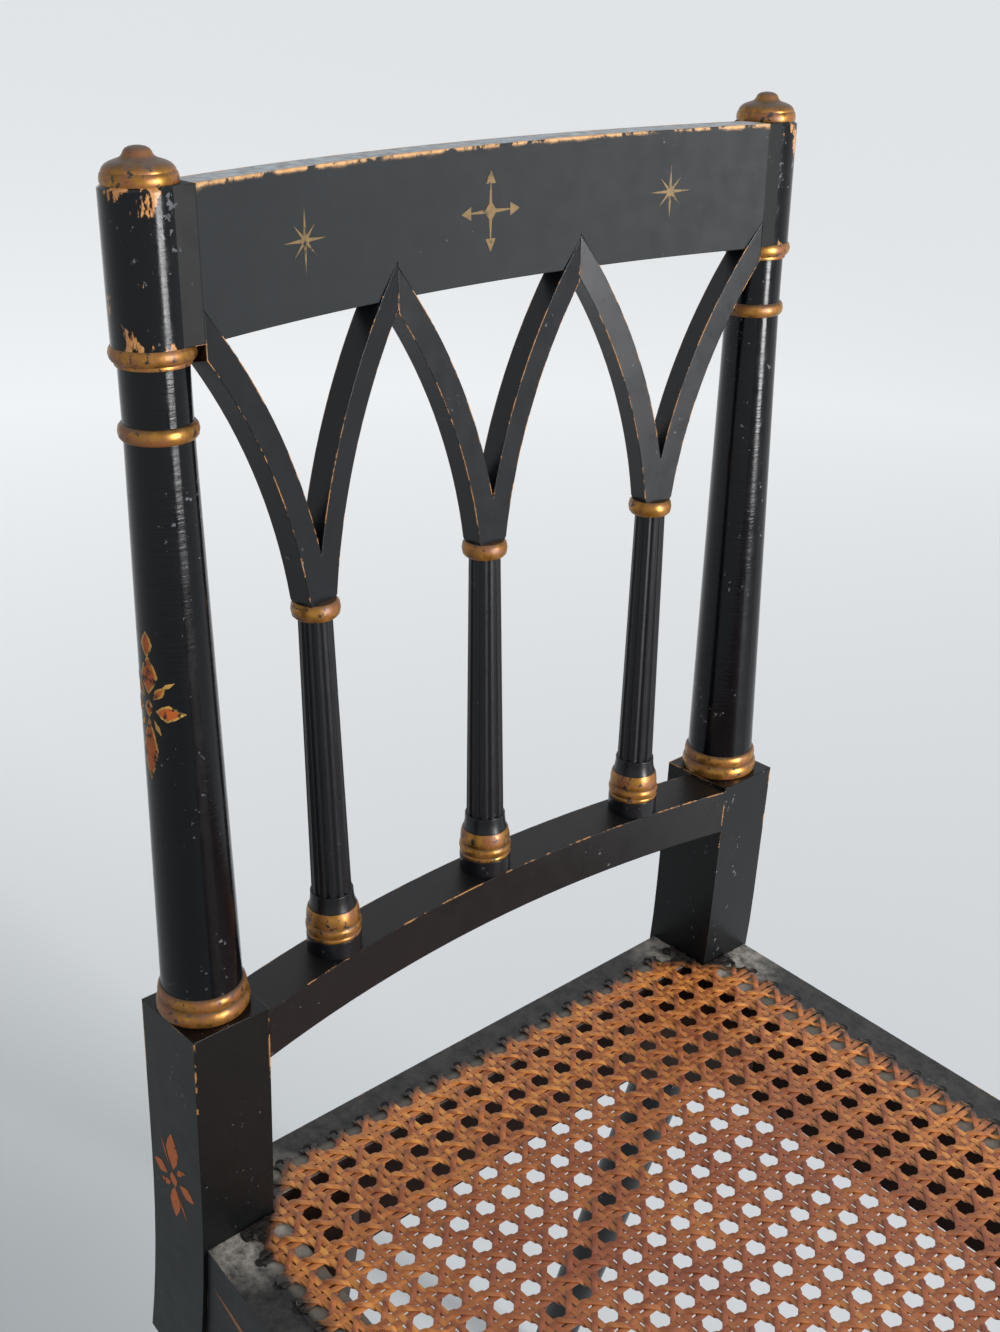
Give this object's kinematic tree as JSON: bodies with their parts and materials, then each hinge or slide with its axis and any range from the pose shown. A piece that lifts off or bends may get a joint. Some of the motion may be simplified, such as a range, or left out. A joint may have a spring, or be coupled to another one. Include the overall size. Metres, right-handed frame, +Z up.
{
  "type": "window seat",
  "caption": "Window seat with a bowed caned seat, splayed turned legs and raised open ends of reeded, forked balusters under a hollowed crest rail.",
  "frame": {"origin": "on the floor under the middle of the seat's outline", "axes": "+X along the seat to the right-hand end, +Y from the bowed front to the straight back, +Z up"},
  "size_m": [1.1644, 0.3898, 0.9071],
  "materials": {
    "ebonised_beech": "worn black semi-gloss, with worn gilding on the turned rings",
    "bare_beech": "bare, darkened with age",
    "cane": "aged, varnished split cane"
  },
  "bodies": {
    "root": {"post_front_left": "ebonised_beech", "corner_block_front_left": "bare_beech", "post_back_left": "ebonised_beech", "corner_block_back_left": "bare_beech", "baluster_front_left": "ebonised_beech", "baluster_middle_left": "ebonised_beech", "baluster_back_left": "ebonised_beech", "crest_rail_left": "ebonised_beech", "cross_rail_left": "ebonised_beech", "seat_rail_left": "ebonised_beech", "post_front_right": "ebonised_beech", "corner_block_front_right": "bare_beech", "post_back_right": "ebonised_beech", "corner_block_back_right": "bare_beech", "baluster_front_right": "ebonised_beech", "baluster_middle_right": "ebonised_beech", "baluster_back_right": "ebonised_beech", "crest_rail_right": "ebonised_beech", "cross_rail_right": "ebonised_beech", "seat_rail_right": "ebonised_beech", "seat_rail_front": "ebonised_beech", "seat_rail_back": "ebonised_beech", "seat_brace": "bare_beech", "cane_panel": "cane"}
  },
  "joints": []
}
